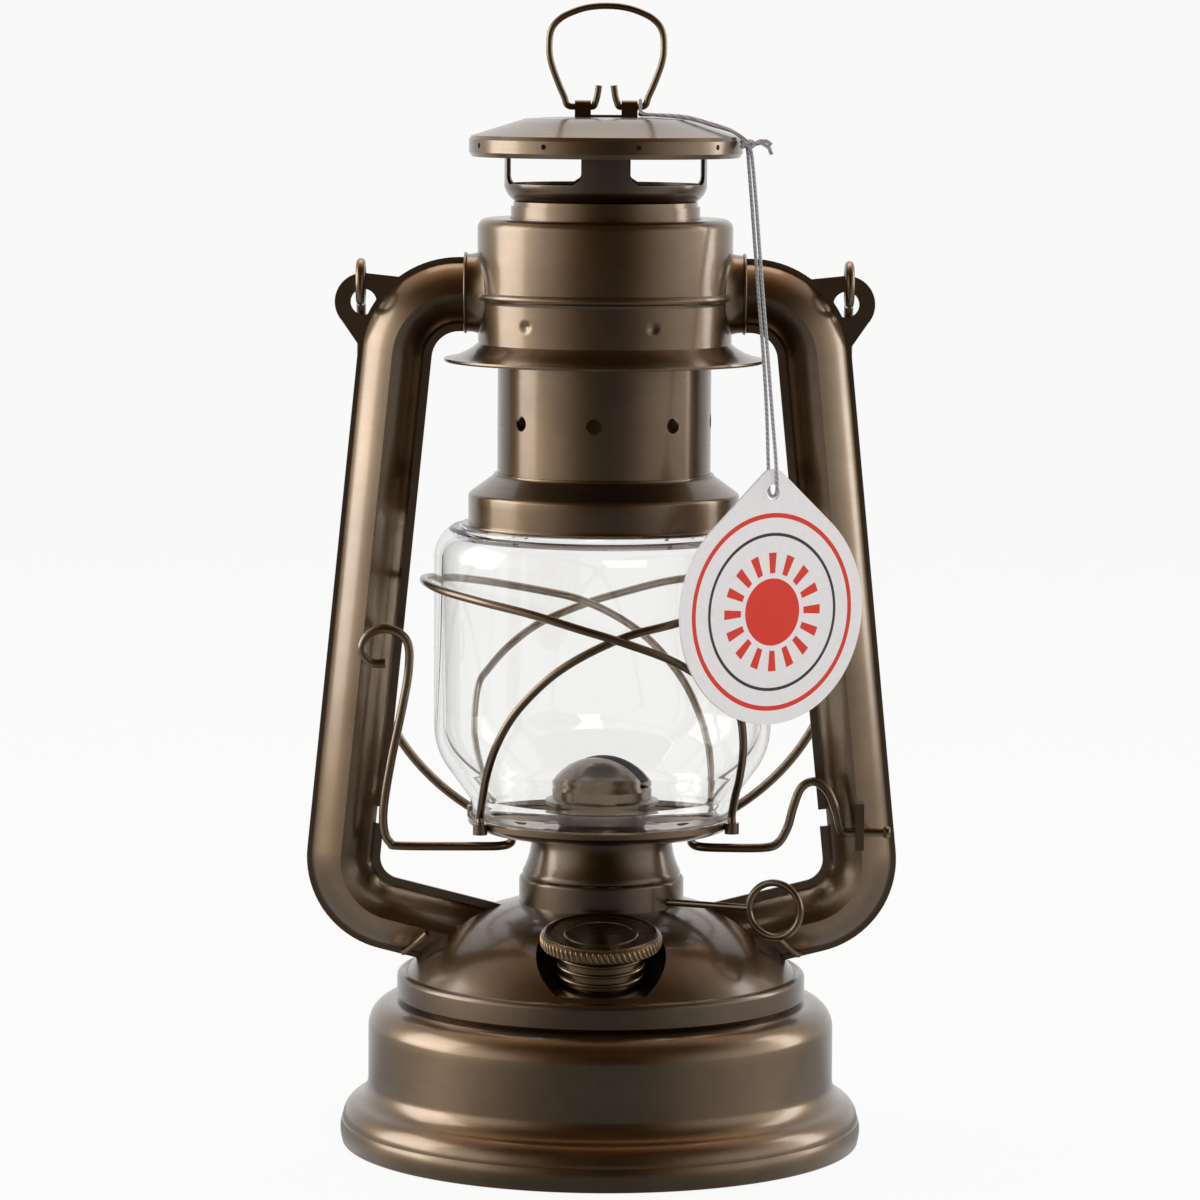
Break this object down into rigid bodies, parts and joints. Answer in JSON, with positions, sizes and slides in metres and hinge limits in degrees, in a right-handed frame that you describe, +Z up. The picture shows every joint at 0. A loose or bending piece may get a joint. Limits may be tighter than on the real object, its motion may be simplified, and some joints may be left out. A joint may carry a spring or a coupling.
{
  "type": "lantern",
  "caption": "Hurricane lantern: a round tank with burner and wick, two air tubes up to a hood, a glass globe with wire guard that lifts on a lever, a vented chimney and a wire bail.",
  "frame": {"origin": "centre of the tank's foot on the surface it stands on", "axes": "+Z up along the axis of tank, globe and chimney; -Y to the front with the filler cap; +X to the right, the side of the wick key"},
  "size_m": [0.1524, 0.1346, 0.2939],
  "materials": {
    "lacquered_steel": "bronze lacquer, satin",
    "lacquered_wire": "bronze lacquer, satin",
    "plain_steel": "plain drawn steel",
    "clear_glass": "clear, smooth",
    "printed_card": "printed card, matte",
    "silver_thread": "twisted thread with a silver shine",
    "black_rubber": "matte",
    "cotton_wick": "woven cotton"
  },
  "bodies": {
    "frame": {"tank_bottom": "lacquered_steel", "foot_band": "lacquered_steel", "tank_shell": "lacquered_steel", "tank_top_plate": "lacquered_steel", "air_dome": "lacquered_steel", "filler_neck": "lacquered_steel", "burner_ring": "lacquered_steel", "burner_collar": "lacquered_steel", "burner_body": "lacquered_steel", "burner_cone": "lacquered_steel", "wick_tube": "plain_steel", "left_tube_front": "lacquered_steel", "left_tube_back": "lacquered_steel", "right_tube_front": "lacquered_steel", "right_tube_back": "lacquered_steel", "left_socket": "lacquered_steel", "right_socket": "lacquered_steel", "hood_shell": "lacquered_steel", "hood_skirt": "lacquered_steel", "lever_bracket": "lacquered_wire", "chimney_spring": "plain_steel"},
    "globe_carrier": {"globe_plate": "lacquered_steel", "left_guard": "lacquered_wire", "right_guard": "lacquered_wire", "globe": "clear_glass"},
    "chimney": {"globe_seat": "lacquered_steel", "chimney_tube": "lacquered_steel", "crown": "lacquered_steel", "canopy": "lacquered_steel", "ring_lug": "lacquered_steel", "hang_tag": "printed_card", "tag_string": "silver_thread", "string_knot": "silver_thread"},
    "lifting_ring": {"lifting_ring": "lacquered_wire"},
    "lift_lever": {"lift_lever": "lacquered_wire"},
    "bail": {"bail": "lacquered_wire"},
    "cap_seal": {"cap_seal": "black_rubber"},
    "filler_cap": {"filler_cap": "lacquered_steel"},
    "wick": {"wick": "cotton_wick"},
    "wick_key": {"wick_key": "lacquered_wire", "wick_cogs": "plain_steel"}
  },
  "joints": [
    {"name": "globe_lift", "type": "slide", "parent": "frame", "child": "globe_carrier", "axis": [0, 0, 1], "range_m": [0, 0.012], "deforming": ["chimney_spring"]},
    {"name": "chimney_lift", "type": "slide", "parent": "globe_carrier", "child": "chimney", "axis": [0, 0, 1], "range_m": [0, 0.016], "deforming": ["chimney_spring"]},
    {"name": "ring_fold", "type": "hinge", "parent": "chimney", "child": "lifting_ring", "pos_m": [0, 0, 0.2675], "axis": [1, 0, 0], "range_deg": [-85, 85]},
    {"name": "lever_turn", "type": "hinge", "parent": "frame", "child": "lift_lever", "pos_m": [0.0669, -0.01, 0.0825], "axis": [1, 0, 0], "range_deg": [0, 20.5]},
    {"name": "bail_swing", "type": "hinge", "parent": "frame", "child": "bail", "pos_m": [0, 0, 0.2224], "axis": [1, 0, 0], "range_deg": [0, 300]},
    {"name": "cap_turn", "type": "hinge", "parent": "frame", "child": "cap_seal", "pos_m": [0, -0.034, 0.0373], "axis": [0, -0.1736, 0.9848], "range_deg": [0, 1440]},
    {"name": "cap_lift", "type": "slide", "parent": "cap_seal", "child": "filler_cap", "axis": [0, -0.1736, 0.9848], "range_m": [0, 0.0101]},
    {"name": "key_turn", "type": "hinge", "parent": "frame", "child": "wick_key", "pos_m": [-0.00192, -0.00451, 0.0644], "axis": [0.9205, -0.3907, 0], "range_deg": [-90, 60]},
    {"name": "wick_slide", "type": "slide", "parent": "frame", "child": "wick", "axis": [0, 0, 1], "range_m": [-0.0058, 0.0038]}
  ],
  "couplings": [
    {"joint": "lever_turn", "follows": "globe_lift", "rad_per_m": 29.089},
    {"joint": "cap_lift", "follows": "cap_turn", "m_per_rad": 0.00039789},
    {"joint": "key_turn", "follows": "wick_slide", "rad_per_m": 270.27}
  ]
}
